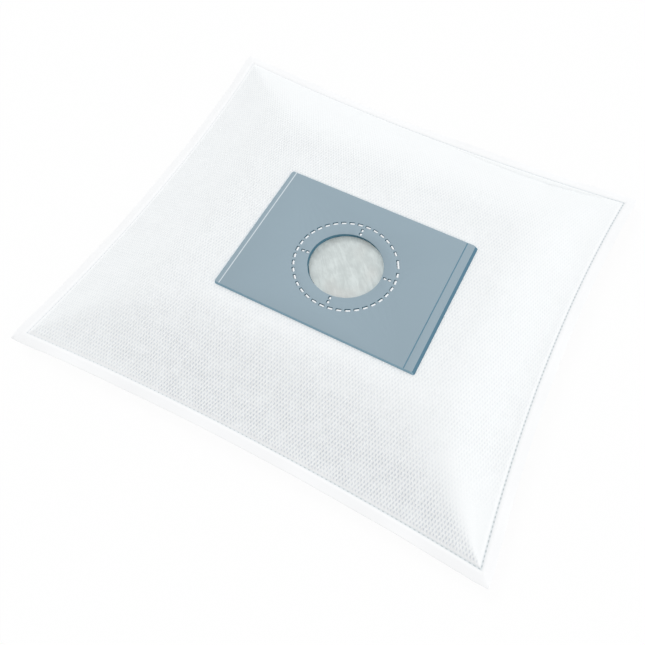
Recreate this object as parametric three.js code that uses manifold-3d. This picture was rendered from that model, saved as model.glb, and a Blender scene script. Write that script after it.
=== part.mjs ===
// Synthetic dust bag for a canister vacuum cleaner, lying flat and slightly puffed.
// Two thermally bonded nonwoven panels are welded together along their four sides, a board collar
// with a perforated tear-out ring is glued over the inlet, and a soft lining lies inside.
//
// Units are millimetres. +X runs along the long side, +Y points to the back and +Z is up.
// The origin is at the middle of the bag, on the surface that the bag lies on.

import * as THREE from 'three';
import { mergeVertices } from 'three/addons/utils/BufferGeometryUtils.js';
import Module from 'manifold-3d';

// Bag cut and weld
const BAG_LENGTH = 308;
const BAG_WIDTH = 284;
const FLANGE_WIDTH = 7;
const WELD_WIDTH = 1.8;
const PANEL_THICKNESS = 0.8;
const WELD_PANEL_THICKNESS = 0.45;

// Puffed form
const CROWN_HEIGHT = 23.4;
const SEAM_CORNER_HEIGHT = 5;
const SEAM_LIFT_LONG_SIDE = 1.5;
const SEAM_LIFT_SHORT_SIDE = 1.5;
const FLANGE_DROOP = 0.6;
const FLANGE_CURL = 1.6;
const SHOULDER_FRONT = 8.5;
const SHOULDER_BACK = 29.5;
const SHOULDER_LEFT = 22;
const SHOULDER_RIGHT = 20;
const CROWN_FULLNESS = 1.5;
const BASE_RISE_RUN = 42;
const BASE_FULLNESS = 1.7;
const RIDGE_SHARPNESS = 4;

// How far the middle of each side is drawn in by the puffing, and how steeply that fades inwards
const DRAWN_IN_FRONT = 5;
const DRAWN_IN_BACK = 8.5;
const DRAWN_IN_LEFT = 9;
const DRAWN_IN_RIGHT = 8;
const DRAWN_IN_FADE = 4;

// Form of each slope: 0 is arched all the way down, 1 flattens out again towards the weld
const HOLLOW_FRONT = 0.5;
const HOLLOW_BACK = 0.3;
const HOLLOW_LEFT = 0.25;
const HOLLOW_RIGHT = 0.9;

// Collar board
const COLLAR_LENGTH = 130;
const COLLAR_WIDTH = 98;
const COLLAR_THICKNESS = 1.6;
const COLLAR_CORNER_RADIUS = 1.2;
const COLLAR_OFFSET_X = 7.1;
const COLLAR_OFFSET_Y = -10.5;
const INLET_DIAMETER = 46.8;
const INLET_OFFSET_X = -0.3;
const INLET_OFFSET_Y = -1.8;

// Perforations and score lines of the collar
const TEAR_RING_DIAMETER = 64.2;
const TEAR_RING_SLOTS = 38;
const SLOT_LENGTH = 3.2;
const SLOT_WIDTH = 1.2;
const LONG_SLOT_LENGTH = 6.5;
const LONG_SLOT_PLACE = 2;
const TEAR_LINES = 4;
const TEAR_LINE_TURN = 5;
const TEAR_LINE_SLOTS = 2;
const TEAR_LINE_SLOT_LENGTH = 2;
const SCORE_INSET_LEFT = 3;
const SCORE_INSET_RIGHT = 5.4;
const SCORE_WIDTH = 0.9;
const SCORE_DEPTH = 0.4;

// Lining
const FLEECE_THICKNESS = 2.6;
const FLEECE_MARGIN = 30;
const FLEECE_LOFT = 10;
const FLEECE_LOFT_HALF_LENGTH = 100;
const FLEECE_LOFT_HALF_WIDTH = 88;
const FLEECE_WAVE_HEIGHT = 0.9;
const FLEECE_WAVE_LENGTH = 38;
const FLEECE_WAVE_TURN = 62;

// Clearances
const PANEL_GAP = 0.3;
const FLEECE_GAP = 0.3;
const INLET_PANEL_CLEARANCE = 0.7;

// Grid counts of the panels and the lining
const SLOPE_STEPS = 8;
const SHOULDER_STEPS = 2;
const FLAT_STEPS = 3;
const BASE_RISE_STEPS = 6;
const BASE_FLAT_STEPS = 4;
const FLEECE_STEPS = 20;
const INLET_SEGMENTS = 72;
const CORNER_SEGMENTS = 3;

const WELD_HALF_X = BAG_LENGTH / 2 - FLANGE_WIDTH;
const WELD_HALF_Y = BAG_WIDTH / 2 - FLANGE_WIDTH;

const COLLAR_LEFT = COLLAR_OFFSET_X - COLLAR_LENGTH / 2;
const COLLAR_RIGHT = COLLAR_OFFSET_X + COLLAR_LENGTH / 2;
const COLLAR_FRONT = COLLAR_OFFSET_Y - COLLAR_WIDTH / 2;
const COLLAR_BACK = COLLAR_OFFSET_Y + COLLAR_WIDTH / 2;

// The crown is the level part of the front panel, a shoulder wider than the collar on each side.
const CROWN_LEFT = COLLAR_LEFT - SHOULDER_LEFT;
const CROWN_RIGHT = COLLAR_RIGHT + SHOULDER_RIGHT;
const CROWN_FRONT = COLLAR_FRONT - SHOULDER_FRONT;
const CROWN_BACK = COLLAR_BACK + SHOULDER_BACK;

const wasm = await Module();
wasm.setup();

function clamp(value, low, high) {
  return Math.min(Math.max(value, low), high);
}

// How much each of several values counts in a soft minimum: the smaller it is, the more.
function softWeights(values) {
  return values.map((value) => Math.max(value, 1e-6) ** -RIDGE_SHARPNESS);
}

function sumOf(values) {
  return values.reduce((total, value) => total + value, 0);
}

// The least of several values with the corners between them rounded off, as soft cloth does.
function softMinimum(values) {
  return sumOf(softWeights(values)) ** (-1 / RIDGE_SHARPNESS);
}

// Where a point of the flat cut lies once the bag is puffed: the middles of the sides are drawn in.
function drawnIn(x, y) {
  const u = clamp(x / WELD_HALF_X, -1, 1);
  const v = clamp(y / WELD_HALF_Y, -1, 1);
  const endPull = (u < 0 ? DRAWN_IN_LEFT : DRAWN_IN_RIGHT) * Math.abs(u) ** DRAWN_IN_FADE * (1 - v * v);
  const sidePull = (v < 0 ? DRAWN_IN_FRONT : DRAWN_IN_BACK) * Math.abs(v) ** DRAWN_IN_FADE * (1 - u * u);
  return [x - Math.sign(u) * endPull, y - Math.sign(v) * sidePull];
}

// Height of the weld's middle plane: low at the corners, lifted between them.
// Outside the weld it is the middle of the loose flange, which curls down to its edge.
function seamHeight(x, y) {
  const u = clamp(Math.abs(x) / WELD_HALF_X, 0, 1);
  const v = clamp(Math.abs(y) / WELD_HALF_Y, 0, 1);
  const longSide = SEAM_LIFT_LONG_SIDE * (1 - u * u) * v * v;
  const shortSide = SEAM_LIFT_SHORT_SIDE * (1 - v * v) * u * u;
  const outside = Math.max(Math.abs(x) - WELD_HALF_X, Math.abs(y) - WELD_HALF_Y, 0);
  const droop = FLANGE_DROOP * (outside / FLANGE_WIDTH) ** FLANGE_CURL;
  return SEAM_CORNER_HEIGHT + longSide + shortSide - droop;
}

// How far a point is up each of the four slopes: 0 at the weld and 1 at the edge of the crown.
function crownShares(x, y) {
  return [
    (x + WELD_HALF_X) / (CROWN_LEFT + WELD_HALF_X),
    (WELD_HALF_X - x) / (WELD_HALF_X - CROWN_RIGHT),
    (y + WELD_HALF_Y) / (CROWN_FRONT + WELD_HALF_Y),
    (WELD_HALF_Y - y) / (WELD_HALF_Y - CROWN_BACK),
  ];
}

// Form of the slope that a point is on, blended over the ridges between the slopes.
function slopeHollow(shares) {
  const weights = softWeights(shares);
  const hollows = [HOLLOW_LEFT, HOLLOW_RIGHT, HOLLOW_FRONT, HOLLOW_BACK];
  return sumOf(weights.map((weight, side) => weight * hollows[side])) / sumOf(weights);
}

// How far a point is down the slope of the back panel: 0 at the weld and 1 where it lies flat.
function baseShare(x, y) {
  return softMinimum([
    (x + WELD_HALF_X) / BASE_RISE_RUN,
    (WELD_HALF_X - x) / BASE_RISE_RUN,
    (y + WELD_HALF_Y) / BASE_RISE_RUN,
    (WELD_HALF_Y - y) / BASE_RISE_RUN,
  ]);
}

// Panels are pressed thinner along the middle of the weld.
function panelThickness(x, y) {
  const fromWeld = Math.abs(Math.max(Math.abs(x) - WELD_HALF_X, Math.abs(y) - WELD_HALF_Y));
  const pressed = clamp(1 - fromWeld / (WELD_WIDTH / 2), 0, 1);
  return PANEL_THICKNESS - pressed * (PANEL_THICKNESS - WELD_PANEL_THICKNESS);
}

function frontPanelUnder(x, y) {
  const seam = seamHeight(x, y) + PANEL_GAP / 2;
  const shares = crownShares(x, y);
  const share = clamp(softMinimum(shares), 0, 1);
  const arched = 1 - (1 - share) ** CROWN_FULLNESS;
  const hollowed = THREE.MathUtils.smoothstep(share, 0, 1);
  const rise = THREE.MathUtils.lerp(arched, hollowed, slopeHollow(shares));
  return seam + (CROWN_HEIGHT - PANEL_THICKNESS - seam) * rise;
}

function frontPanelTop(x, y) {
  return frontPanelUnder(x, y) + panelThickness(x, y);
}

function backPanelTop(x, y) {
  const seam = seamHeight(x, y) - PANEL_GAP / 2;
  const share = clamp(baseShare(x, y), 0, 1);
  const fall = 1 - (1 - share) ** BASE_FULLNESS;
  return seam + (PANEL_THICKNESS - seam) * fall;
}

function backPanelUnder(x, y) {
  return backPanelTop(x, y) - panelThickness(x, y);
}

function fleeceUnder(x, y) {
  return backPanelTop(x, y) + FLEECE_GAP;
}

// The lining is loftiest under the inlet, where its fibres stand up.
function fleeceLoft(x, y) {
  const along = (x - COLLAR_OFFSET_X - INLET_OFFSET_X) / FLEECE_LOFT_HALF_LENGTH;
  const across = (y - COLLAR_OFFSET_Y - INLET_OFFSET_Y) / FLEECE_LOFT_HALF_WIDTH;
  return FLEECE_LOFT * clamp(1 - along * along - across * across, 0, 1) ** 2;
}

// The lining lies in low folds that run across the bag at a slant.
function fleeceTop(x, y) {
  const turn = THREE.MathUtils.degToRad(FLEECE_WAVE_TURN);
  const across = x * Math.cos(turn) + y * Math.sin(turn);
  const along = y * Math.cos(turn) - x * Math.sin(turn);
  const fold = Math.sin((2 * Math.PI * across) / FLEECE_WAVE_LENGTH);
  const fade = Math.cos((Math.PI * along) / (FLEECE_WAVE_LENGTH * 3));
  return fleeceUnder(x, y) + FLEECE_THICKNESS + fleeceLoft(x, y) + FLEECE_WAVE_HEIGHT * fold * fade;
}

function evenSteps(from, to, count) {
  return Array.from({ length: count }, (_, i) => from + ((to - from) * i) / count);
}

// Steps that start close together, for a slope that bends most beside the weld.
function wideningSteps(from, to, count) {
  return Array.from({ length: count }, (_, i) => from + (to - from) * (i / count) ** 1.35);
}

function mirroredSteps(from, to, count) {
  return wideningSteps(to, from, count).reverse();
}

// Grid lines from one edge of the cut to the other: flange, weld, slope, then the middle.
function panelLines(weldHalf, middle, slopeLow, slopeHigh, slopeSteps) {
  const edge = weldHalf + FLANGE_WIDTH;
  const weldOuter = weldHalf + WELD_WIDTH / 2;
  const weldInner = weldHalf - WELD_WIDTH / 2;
  return [
    -edge,
    -(edge + weldOuter) / 2,
    -weldOuter,
    -weldHalf,
    ...wideningSteps(-weldInner, slopeLow, slopeSteps),
    ...middle,
    ...mirroredSteps(slopeHigh, weldInner, slopeSteps),
    weldHalf,
    weldOuter,
    (edge + weldOuter) / 2,
    edge,
  ];
}

function frontPanelLines(weldHalf, crownLow, collarLow, collarHigh, crownHigh) {
  const middle = [
    ...evenSteps(crownLow, collarLow, SHOULDER_STEPS),
    ...evenSteps(collarLow, collarHigh, FLAT_STEPS),
    ...evenSteps(collarHigh, crownHigh, SHOULDER_STEPS),
    crownHigh,
  ];
  return panelLines(weldHalf, middle, crownLow, crownHigh, SLOPE_STEPS);
}

function backPanelLines(weldHalf) {
  const baseHalf = weldHalf - BASE_RISE_RUN;
  const middle = [...evenSteps(-baseHalf, baseHalf, BASE_FLAT_STEPS), baseHalf];
  return panelLines(weldHalf, middle, -baseHalf, baseHalf, BASE_RISE_STEPS);
}

function fleeceLines(weldHalf) {
  const half = weldHalf - FLEECE_MARGIN;
  return [...evenSteps(-half, half, FLEECE_STEPS), half];
}

// A closed solid between two height functions over a grid of the flat cut.
// Each square is split along the diagonal that points to the middle, so the corner ridges stay crisp.
function closedSheet(xLines, yLines, under, top) {
  const columns = xLines.length;
  const rows = yLines.length;
  const positions = [];
  for (const height of [under, top]) {
    for (const y of yLines) {
      for (const x of xLines) {
        positions.push(...drawnIn(x, y), height(x, y));
      }
    }
  }
  const low = (i, j) => j * columns + i;
  const high = (i, j) => rows * columns + low(i, j);
  const index = [];
  for (let j = 0; j < rows - 1; j += 1) {
    for (let i = 0; i < columns - 1; i += 1) {
      const middleX = xLines[i] + xLines[i + 1];
      const middleY = yLines[j] + yLines[j + 1];
      const square = [[i, j], [i + 1, j], [i + 1, j + 1], [i, j + 1]];
      const start = middleX * middleY > 0 ? 0 : 1;
      const [a, b, c, d] = [0, 1, 2, 3].map((k) => square[(start + k) % 4]);
      index.push(high(...a), high(...b), high(...c), high(...a), high(...c), high(...d));
      index.push(low(...a), low(...c), low(...b), low(...a), low(...d), low(...c));
    }
  }
  const rim = [];
  for (let i = 0; i < columns - 1; i += 1) rim.push([i, 0]);
  for (let j = 0; j < rows - 1; j += 1) rim.push([columns - 1, j]);
  for (let i = columns - 1; i > 0; i -= 1) rim.push([i, rows - 1]);
  for (let j = rows - 1; j > 0; j -= 1) rim.push([0, j]);
  rim.forEach((here, k) => {
    const next = rim[(k + 1) % rim.length];
    index.push(low(...here), low(...next), high(...next));
    index.push(low(...here), high(...next), high(...here));
  });
  const geometry = new THREE.BufferGeometry();
  geometry.setAttribute('position', new THREE.Float32BufferAttribute(positions, 3));
  geometry.setIndex(index);
  return geometry;
}

function toSolid(geometry) {
  const bare = geometry.clone();
  bare.deleteAttribute('normal');
  bare.deleteAttribute('uv');
  const merged = mergeVertices(bare);
  return new wasm.Manifold(new wasm.Mesh({
    numProp: 3,
    vertProperties: new Float32Array(merged.attributes.position.array),
    triVerts: new Uint32Array(merged.index.array),
  }));
}

function toGeometry(solid) {
  const mesh = solid.getMesh();
  const geometry = new THREE.BufferGeometry();
  geometry.setAttribute('position', new THREE.BufferAttribute(mesh.vertProperties, 3));
  geometry.setIndex(new THREE.BufferAttribute(mesh.triVerts, 1));
  return geometry;
}

function cutAway(geometry, ...tools) {
  const cut = tools.reduce((solid, tool) => solid.subtract(toSolid(tool)), toSolid(geometry));
  return toGeometry(cut);
}

function roundHole(x, y, radius) {
  const circle = new THREE.EllipseCurve(x, y, radius, radius, 0, 2 * Math.PI, true);
  return new THREE.Path(circle.getPoints(INLET_SEGMENTS).slice(1));
}

// A slot through the board: its middle, its direction and its length.
function slotHole(x, y, direction, length) {
  const along = new THREE.Vector2(Math.cos(direction), Math.sin(direction)).multiplyScalar(length / 2);
  const across = new THREE.Vector2(-Math.sin(direction), Math.cos(direction)).multiplyScalar(SLOT_WIDTH / 2);
  const middle = new THREE.Vector2(x, y);
  const path = new THREE.Path();
  path.setFromPoints([
    middle.clone().sub(along).sub(across),
    middle.clone().sub(along).add(across),
    middle.clone().add(along).add(across),
    middle.clone().add(along).sub(across),
  ]);
  path.closePath();
  return path;
}

// A slot along the tear-out ring. Its place counts slots round the ring from the first tear line.
function tearRingSlot(place, length) {
  const radius = TEAR_RING_DIAMETER / 2;
  const angle = THREE.MathUtils.degToRad(TEAR_LINE_TURN) + (2 * Math.PI * place) / TEAR_RING_SLOTS;
  const x = INLET_OFFSET_X + radius * Math.cos(angle);
  const y = INLET_OFFSET_Y + radius * Math.sin(angle);
  return slotHole(x, y, angle + Math.PI / 2, length);
}

// The tear-out ring: one slot after another round a circle, with a bridge of board between them.
// One long slot stands in the place of two, so that the ring starts to tear there.
function tearRingSlots() {
  const slots = [tearRingSlot(LONG_SLOT_PLACE + 0.5, LONG_SLOT_LENGTH)];
  for (let place = 0; place < TEAR_RING_SLOTS; place += 1) {
    const underLongSlot = place === LONG_SLOT_PLACE || place === LONG_SLOT_PLACE + 1;
    if (!underLongSlot) slots.push(tearRingSlot(place, SLOT_LENGTH));
  }
  return slots;
}

// Short radial rows of slots from the inlet to the ring, which let the ring fold out in quarters.
// The slots share the width of board between hole and ring, and the bridge beside the ring is double.
function tearLineSlots() {
  const inner = INLET_DIAMETER / 2;
  const outer = TEAR_RING_DIAMETER / 2 - SLOT_WIDTH / 2;
  const bridge = (outer - inner - TEAR_LINE_SLOTS * TEAR_LINE_SLOT_LENGTH) / (TEAR_LINE_SLOTS + 2);
  const slots = [];
  for (let line = 0; line < TEAR_LINES; line += 1) {
    const angle = THREE.MathUtils.degToRad(TEAR_LINE_TURN) + (2 * Math.PI * line) / TEAR_LINES;
    for (let k = 0; k < TEAR_LINE_SLOTS; k += 1) {
      const radius = inner + bridge + TEAR_LINE_SLOT_LENGTH / 2 + k * (TEAR_LINE_SLOT_LENGTH + bridge);
      const x = INLET_OFFSET_X + radius * Math.cos(angle);
      const y = INLET_OFFSET_Y + radius * Math.sin(angle);
      slots.push(slotHole(x, y, angle, TEAR_LINE_SLOT_LENGTH));
    }
  }
  return slots;
}

function collarOutline() {
  const x = COLLAR_LENGTH / 2;
  const y = COLLAR_WIDTH / 2;
  const r = COLLAR_CORNER_RADIUS;
  const outline = new THREE.Shape();
  outline.moveTo(-x + r, -y);
  outline.lineTo(x - r, -y);
  outline.absarc(x - r, -y + r, r, -Math.PI / 2, 0, false);
  outline.lineTo(x, y - r);
  outline.absarc(x - r, y - r, r, 0, Math.PI / 2, false);
  outline.lineTo(-x + r, y);
  outline.absarc(-x + r, y - r, r, Math.PI / 2, Math.PI, false);
  outline.lineTo(-x, -y + r);
  outline.absarc(-x + r, -y + r, r, Math.PI, 1.5 * Math.PI, false);
  return outline;
}

// A V-shaped groove pressed into the top of the board, from its front edge to its back edge.
function scoreCutter(x) {
  const profile = new THREE.Shape();
  profile.moveTo(-SCORE_WIDTH, SCORE_DEPTH);
  profile.lineTo(0, -SCORE_DEPTH);
  profile.lineTo(SCORE_WIDTH, SCORE_DEPTH);
  profile.closePath();
  const length = COLLAR_WIDTH * 1.1;
  const cutter = new THREE.ExtrudeGeometry(profile, { depth: length, bevelEnabled: false });
  cutter.rotateX(Math.PI / 2);
  cutter.translate(x, length / 2, COLLAR_THICKNESS);
  return cutter;
}

function collarPlate() {
  const outline = collarOutline();
  const inlet = roundHole(INLET_OFFSET_X, INLET_OFFSET_Y, INLET_DIAMETER / 2);
  outline.holes.push(inlet, ...tearRingSlots(), ...tearLineSlots());
  const board = new THREE.ExtrudeGeometry(outline, {
    depth: COLLAR_THICKNESS,
    bevelEnabled: false,
    curveSegments: CORNER_SEGMENTS,
  });
  const scores = [
    scoreCutter(-COLLAR_LENGTH / 2 + SCORE_INSET_LEFT),
    scoreCutter(COLLAR_LENGTH / 2 - SCORE_INSET_RIGHT),
  ];
  return cutAway(board, ...scores);
}

function frontPanel() {
  const sheet = closedSheet(
    frontPanelLines(WELD_HALF_X, CROWN_LEFT, COLLAR_LEFT, COLLAR_RIGHT, CROWN_RIGHT),
    frontPanelLines(WELD_HALF_Y, CROWN_FRONT, COLLAR_FRONT, COLLAR_BACK, CROWN_BACK),
    frontPanelUnder,
    frontPanelTop,
  );
  const radius = INLET_DIAMETER / 2 + INLET_PANEL_CLEARANCE;
  const punch = new THREE.CylinderGeometry(radius, radius, CROWN_HEIGHT, INLET_SEGMENTS);
  punch.rotateX(Math.PI / 2);
  punch.translate(COLLAR_OFFSET_X + INLET_OFFSET_X, COLLAR_OFFSET_Y + INLET_OFFSET_Y, CROWN_HEIGHT);
  return cutAway(sheet, punch);
}

function backPanel() {
  return closedSheet(backPanelLines(WELD_HALF_X), backPanelLines(WELD_HALF_Y), backPanelUnder, backPanelTop);
}

function innerFleece() {
  return closedSheet(fleeceLines(WELD_HALF_X), fleeceLines(WELD_HALF_Y), fleeceUnder, fleeceTop);
}

function namedMesh(name, geometry, material) {
  const mesh = new THREE.Mesh(geometry, material);
  mesh.name = name;
  return mesh;
}

const nonwoven = { color: 0xf4f6f6, roughness: 0.85, metalness: 0 };

const bag = new THREE.Group();

bag.add(namedMesh('back_panel', backPanel(), new THREE.MeshStandardMaterial(nonwoven)));
bag.add(namedMesh('front_panel', frontPanel(), new THREE.MeshStandardMaterial(nonwoven)));

const lining = { color: 0xd3dad9, roughness: 0.95, metalness: 0 };
bag.add(namedMesh('inner_fleece', innerFleece(), new THREE.MeshStandardMaterial(lining)));

const board = { color: 0x9aabb5, roughness: 0.6, metalness: 0 };
const collar = namedMesh('collar_plate', collarPlate(), new THREE.MeshStandardMaterial(board));
collar.position.set(COLLAR_OFFSET_X, COLLAR_OFFSET_Y, CROWN_HEIGHT);
bag.add(collar);

export default bag;
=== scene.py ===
# Vacuum dust bag, dressed: two welded nonwoven panels, a board collar with a tear-out ring, a soft lining.
# Units are metres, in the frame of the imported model: +X along the bag, +Y to its back, +Z up.

import math

import bpy
import numpy as np
from mathutils import Matrix, Vector
from mathutils.geometry import delaunay_2d_cdt


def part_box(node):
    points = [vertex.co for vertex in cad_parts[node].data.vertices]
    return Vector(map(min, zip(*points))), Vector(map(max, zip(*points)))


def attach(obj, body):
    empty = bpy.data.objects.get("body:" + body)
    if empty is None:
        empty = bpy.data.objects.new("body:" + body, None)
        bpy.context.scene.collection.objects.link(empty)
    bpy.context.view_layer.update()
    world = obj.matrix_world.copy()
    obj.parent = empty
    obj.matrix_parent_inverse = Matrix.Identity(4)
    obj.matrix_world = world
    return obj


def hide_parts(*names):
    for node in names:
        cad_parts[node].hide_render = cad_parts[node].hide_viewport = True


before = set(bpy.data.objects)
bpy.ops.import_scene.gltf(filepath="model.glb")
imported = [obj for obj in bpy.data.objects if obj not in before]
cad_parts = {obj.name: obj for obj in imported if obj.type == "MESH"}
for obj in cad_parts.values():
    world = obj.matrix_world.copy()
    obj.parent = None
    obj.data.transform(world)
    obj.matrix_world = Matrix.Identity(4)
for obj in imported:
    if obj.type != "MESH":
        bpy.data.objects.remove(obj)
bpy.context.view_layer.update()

MM = 0.001

# Overall sizes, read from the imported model
BAG_LOW, BAG_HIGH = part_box("front_panel")
COLLAR_LOW, COLLAR_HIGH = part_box("collar_plate")

# Weld and panels
FLANGE_WIDTH = 7 * MM
PANEL_THICKNESS = 0.8 * MM
PANEL_GAP = 0.3 * MM
WELD_HALF_X = BAG_HIGH.x - FLANGE_WIDTH
WELD_HALF_Y = BAG_HIGH.y - FLANGE_WIDTH

# Puffed form
CROWN_HEIGHT = COLLAR_LOW.z
SEAM_CORNER_HEIGHT = 5 * MM
SEAM_LIFT_LONG_SIDE = 1.5 * MM
SEAM_LIFT_SHORT_SIDE = 1.5 * MM
FLANGE_DROOP = 0.4 * MM
FLANGE_CURL = 1.6
SHOULDER_FRONT = 8.5 * MM
SHOULDER_BACK = 29.5 * MM
SHOULDER_LEFT = 22 * MM
SHOULDER_RIGHT = 20 * MM
CROWN_FULLNESS = 1.5
BASE_RISE_RUN = 42 * MM
BASE_FULLNESS = 1.7
RIDGE_SHARPNESS = 7

# How far the middle of each side is drawn in by the puffing, and how steeply that fades inwards
DRAWN_IN_FRONT = 5 * MM
DRAWN_IN_BACK = 8.5 * MM
DRAWN_IN_LEFT = 9 * MM
DRAWN_IN_RIGHT = 8 * MM
DRAWN_IN_FADE = 4

# Form of each slope: 0 is arched all the way down, 1 flattens out again towards the weld
HOLLOWS = {"left": 0.25, "right": 0.9, "front": 0.5, "back": 0.3}

# How far each slope reaches in from the weld: left, right, front and back
CROWN_RUNS = (
    COLLAR_LOW.x - SHOULDER_LEFT + WELD_HALF_X, WELD_HALF_X - COLLAR_HIGH.x - SHOULDER_RIGHT,
    COLLAR_LOW.y - SHOULDER_FRONT + WELD_HALF_Y, WELD_HALF_Y - COLLAR_HIGH.y - SHOULDER_BACK,
)

# Softness of the panels: slow waves, puckers beside the weld and the pressed groove of the weld
WAVE_COUNT = 14
WAVE_HEIGHT = 0.18 * MM
WAVE_LENGTHS = (34 * MM, 85 * MM)
WAVE_RISE = 18 * MM
PUCKER_HEIGHT = 0.1 * MM
PUCKER_LENGTHS = (9 * MM, 24 * MM)
PUCKER_RISE = 4 * MM
PUCKER_REACH = 13 * MM
PUCKER_CORNER = 30 * MM
WELD_GROOVE_DEPTH = 0.15 * MM
WELD_GROOVE_HALF = 0.6 * MM
WELD_LIP_HEIGHT = 0.2 * MM
WELD_LIP_OFFSET = 2.1 * MM
WELD_LIP_HALF = 1.2 * MM
WELD_PRESSED_RUN = 3 * MM
PRESSED_THICKNESS = 0.5 * MM
FLANGE_WAVE_HEIGHT = 0.3 * MM
FLANGE_WAVE_LENGTHS = (28 * MM, 70 * MM)
FLANGE_EDGE_THINNING = 0.15 * MM
FLANGE_EDGE_RUN = 3 * MM

# Seeds of the random waves
SEEDS = {"waves": 7, "front puckers": 12, "back puckers": 21, "flange": 31, "streaks": 5, "tufts": 6}

# Narrow tuck that runs out of the back weld and back into it
TUCK_START = 20 * MM
TUCK_END = 136 * MM
TUCK_REACH = 8 * MM
TUCK_DEPTH = 1.15 * MM
TUCK_HALF = 0.75 * MM

# The cloth lies flat round the board, and stands up a little along its left and its back edge
FLAT_ROUND_BOARD = 2 * MM
FLAT_FADE = 22 * MM
SWELL_HEIGHT = 1.0 * MM
SWELL_RISE = 0.7 * MM
SWELL_FADE = 14 * MM
SWELL_END = 12 * MM

# How strongly the weld shows at each corner, left and right, from 0 to 1, evenly blended between them: the
# depth of its groove, its grey and the size of its weld points. This is partly how hard the weld is pressed
# and partly painted shade, strong on the right and the front and faint at the left end and the back.
WELD_PRESS_AND_SHADE_FRONT = (0.45, 1.0)
WELD_PRESS_AND_SHADE_BACK = (0.3, 1.0)

# Weld points: small flat ovals of grey fused film, one after another along the weld. Their grey is partly
# painted shade of the weld's pressed pits.
WELD_POINT_PITCH = 2.67 * MM
WELD_POINT_SIZE = (1.55 * MM, 1.05 * MM, 0.16 * MM)
WELD_POINT_LIFT = 0.02 * MM
WELD_PATH_STEPS = 90

# Bond points of the nonwoven: a slanted lattice of pressed ovals
BOND_PITCH = 1.93 * MM
BOND_ROW = 2.27 * MM
BOND_SLANT = 0.76 * MM
BOND_HALF_WIDTH = 0.4 * MM
BOND_HALF_LENGTH = 0.9 * MM
BOND_DEPTH_MM = 0.35

# How clearly the bond points stand out on each slope and on the crown, from 0 to 1: the depth of their relief
# and how grey their film is. That grey is partly painted shade, strongest on the front slope and faint on the
# right and back slopes. The right slope goes from front to back and fades out in its front corner, the front
# slope from the left end to its middle part and the crown from left to right. The clear ones of the front
# slope keep back from its two ridges.
EMBOSS_AND_SHADE_LEFT = 0.36
EMBOSS_AND_SHADE_RIGHT = (0.42, 0.1)
EMBOSS_AND_SHADE_SMOOTH_CORNER = (22 * MM, 60 * MM)
EMBOSS_AND_SHADE_FRONT = (0.5, 1.0)
EMBOSS_AND_SHADE_FRONT_END = 0.35
EMBOSS_AND_SHADE_BACK = 0.08
EMBOSS_AND_SHADE_CROWN = (0.5, 0.3)
EMBOSS_AND_SHADE_KEEPS_BACK = (1.25, 1.65)
EMBOSS_AND_SHADE_OFF_WELD = (0.6 * MM, 1.5 * MM)

# Collar board
INLET_RADIUS = 23.4 * MM
INLET_X = (COLLAR_LOW.x + COLLAR_HIGH.x) / 2 - 0.3 * MM
INLET_Y = (COLLAR_LOW.y + COLLAR_HIGH.y) / 2 - 1.8 * MM
INLET_POINTS = 120
INLET_LEAN = np.array([0.9, 0.0]) * MM
INLET_PANEL_CLEARANCE = 0.7 * MM
COLLAR_CORNER_RADIUS = 1.2 * MM
COLLAR_EDGE_ROUNDING = 0.2 * MM
COLLAR_EDGE_LEAN = {"left": 0.1 * MM, "right": 1.75 * MM, "front": 0.5 * MM, "back": 0.1 * MM}
TEAR_RING_RADIUS = 32.1 * MM
TEAR_RING_SLOTS = 38
TEAR_LINES = 4
TEAR_LINE_TURN = math.radians(5)
TEAR_LINE_SLOTS = 2
TEAR_LINE_SLOT_LENGTH = 2.2 * MM
SLOT_LENGTH = 3.5 * MM
SLOT_WIDTH = 1.8 * MM
SLOT_ROUNDING = 0.22 * MM
LONG_SLOT_LENGTH = 6.5 * MM
LONG_SLOT_PLACE = 2
SCORE_INSETS = (3 * MM, 5.4 * MM)
SCORE_HALF_WIDTHS = (0.31 * MM, 0.37 * MM)
SCORE_DEPTHS = (0.12 * MM, 0.35 * MM)
SLOT_FLEECE_DEPTH = 0.03 * MM
SLOT_FLEECE_WIDTH = 1.15 * MM
SLOT_FLEECE_HEIGHT = 0.45 * MM
SLOT_FLEECE_SHIFT = Vector((0.32 * MM, -0.1 * MM, 0))

# Lining
LINING_THICKNESS = 2.6 * MM
LINING_GAP = 0.3 * MM
LINING_MARGIN = 30 * MM
LINING_LOFT = 10 * MM
LINING_LOFT_HALF_LENGTH = 100 * MM
LINING_LOFT_HALF_WIDTH = 88 * MM
LINING_TUFT_HEIGHT = 22 * MM
LINING_TUFT_REACH = (32 * MM, 70 * MM)
LINING_WAVE_HEIGHT = 0.9 * MM
LINING_WAVE_LENGTH = 38 * MM
LINING_WAVE_TURN = math.radians(62)
LINING_CLEARANCE = 0.3 * MM
LINING_BULGE = 0.8 * MM

# Combed fibre of the lining: its direction, then stretch, lengths and height of its streaks and its tufts
STREAK_TURN = math.radians(-47)
STREAKS = (5, (6 * MM, 13 * MM), 0.1 * MM)
TUFTS = (3, (2.5 * MM, 5 * MM), 0.03 * MM)

# Fineness of the meshes
WELD_STEP = 0.4 * MM
WELD_ZONE = 2.4 * MM
FLANGE_STEP = 0.95 * MM
FLANGE_EDGE_ZONE = 1.2 * MM
FLANGE_EDGE_STEP = 0.3 * MM
TUCK_ZONE = 9.5 * MM
TUCK_STEP = 0.7 * MM
PANEL_STEP = 1.8 * MM
BESIDE_BOARD_ZONE = 4.2 * MM
BESIDE_BOARD_STEP = 0.6 * MM
LINING_FINE_MARGIN = 14 * MM
LINING_FINE_STEP = 0.7 * MM
LINING_COARSE_STEP = 5 * MM
SHARP_FOLD = math.radians(50)
SHARP_BOARD_EDGE = math.radians(25)

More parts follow.
